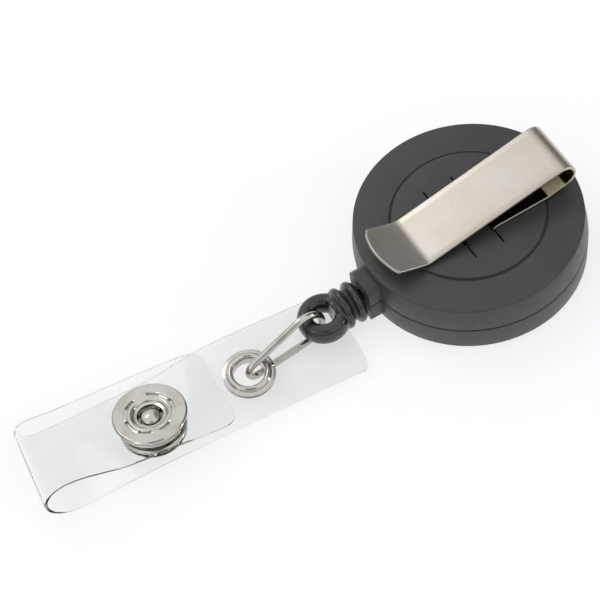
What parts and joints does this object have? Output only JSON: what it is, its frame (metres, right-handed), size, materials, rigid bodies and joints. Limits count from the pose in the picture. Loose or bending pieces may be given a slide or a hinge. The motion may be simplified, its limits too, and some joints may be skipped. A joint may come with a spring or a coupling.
{
  "type": "retractable badge reel",
  "caption": "Round retractable badge reel with a spring belt clip, a ribbed cord-end eye, a steel link and a clear snap strap folded over for a badge.",
  "frame": {"origin": "centre of the flat front face, on the reel's axis", "axes": "+Z along the reel's axis towards the belt clip; the cord leaves towards -X; the clip's fold is at +X; +Y across the clip"},
  "size_m": [0.0845, 0.032, 0.0132],
  "materials": {
    "case_plastic": "fine semi-matte moulded charcoal",
    "spool_plastic": "natural moulded plastic",
    "fitting_plastic": "glossy black moulded",
    "clip_nickel": "satin nickel plate",
    "bright_nickel": "polished nickel plate",
    "spring_steel": "blue-grey rolled strip",
    "cord": "braided nylon",
    "clear_vinyl": "clear flexible vinyl"
  },
  "bodies": {
    "case": {"front_shell": "case_plastic", "rear_shell": "case_plastic", "clip_base": "clip_nickel", "cord_run": "cord"},
    "clip": {"clip_leaf": "clip_nickel"},
    "spool": {"spool": "spool_plastic", "spring_cover": "spool_plastic", "power_spring": "spring_steel", "cord_winding": "cord"},
    "cord_end": {"cord_tip": "cord", "cord_knot": "cord"},
    "fitting": {"cord_end_eye": "fitting_plastic"},
    "link": {"wire_link": "bright_nickel"},
    "strap": {"strap_long_leaf": "clear_vinyl", "strap_fold": "clear_vinyl", "eyelet": "bright_nickel", "eyelet_washer": "bright_nickel", "snap_stud": "bright_nickel", "snap_stud_post": "bright_nickel"},
    "flap": {"strap_short_leaf": "clear_vinyl", "snap_socket": "bright_nickel", "snap_socket_post": "bright_nickel"}
  },
  "joints": [
    {"name": "clip_flex", "type": "hinge", "parent": "case", "child": "clip", "pos_m": [0.01267, 0, 0.01126], "axis": [0, 1, 0], "range_deg": [0, 12], "stiffness_Nm_per_rad": 0.5, "springref_deg": -2.86},
    {"name": "cord_pull", "type": "slide", "parent": "case", "child": "cord_end", "axis": [-1, 0, 0], "range_m": [0, 0.6], "stiffness_N_per_m": 1.5, "springref_m": -0.35},
    {"name": "spool_spin", "type": "hinge", "parent": "case", "child": "spool", "pos_m": [0, 0, 0.0037], "axis": [0, 0, 1], "range_deg": [0, 3000], "deforming": ["power_spring"]},
    {"name": "end_swivel", "type": "hinge", "parent": "cord_end", "child": "fitting", "pos_m": [-0.01995, 0, 0.0034], "axis": [-1, 0, 0], "continuous": true},
    {"name": "link_swing", "type": "hinge", "parent": "fitting", "child": "link", "pos_m": [-0.0234, 0, 0.0034], "axis": [0, 0, 1], "range_deg": [-35, 35]},
    {"name": "strap_swing", "type": "hinge", "parent": "link", "child": "strap", "pos_m": [-0.03302, -0.0012, 0.0019], "axis": [0.0872, 0.9962, 0], "range_deg": [0, 85]},
    {"name": "flap_open", "type": "hinge", "parent": "strap", "child": "flap", "pos_m": [-0.06435, 0.00154, 0.00325], "axis": [-0.0872, -0.9962, 0], "range_deg": [0, 130], "deforming": ["strap_fold"]}
  ],
  "couplings": [
    {"joint": "spool_spin", "follows": "cord_pull", "rad_per_m": 85}
  ]
}
